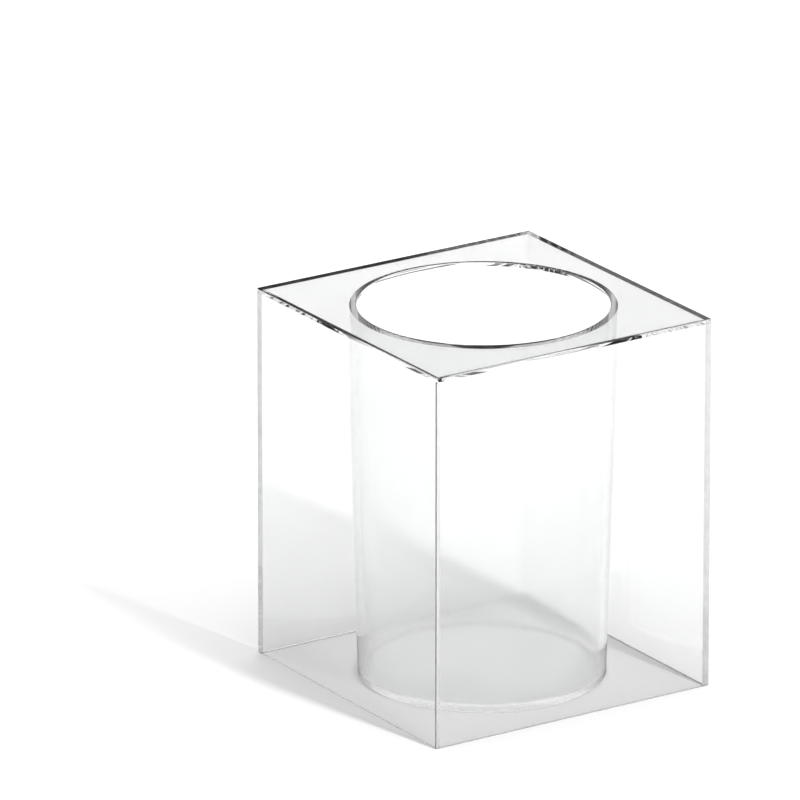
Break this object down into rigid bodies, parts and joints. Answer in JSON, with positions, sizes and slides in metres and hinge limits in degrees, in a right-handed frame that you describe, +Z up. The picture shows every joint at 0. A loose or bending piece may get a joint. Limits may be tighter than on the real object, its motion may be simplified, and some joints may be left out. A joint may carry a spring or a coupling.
{
  "type": "pen holder cup",
  "caption": "Clear acrylic desk cup for pens: a square case with a flat top, a round mouth and a tapered round well hanging inside it, open underneath around the well.",
  "frame": {"origin": "centre of the underside, on the surface the cup stands on", "axes": "+Z up out of the mouth, -Y out of the front panel, +X out of the right panel"},
  "size_m": [0.08, 0.08, 0.095],
  "materials": {
    "acrylic_sheet": "clear with polished faces, the disc edge and the underside left matt",
    "acrylic_tube": "clear, moulded with a light draft, glossy"
  },
  "bodies": {
    "root": {"top_plate": "acrylic_sheet", "front_panel": "acrylic_sheet", "right_panel": "acrylic_sheet", "back_panel": "acrylic_sheet", "left_panel": "acrylic_sheet", "inner_tube": "acrylic_tube", "tube_base": "acrylic_sheet"}
  },
  "joints": []
}
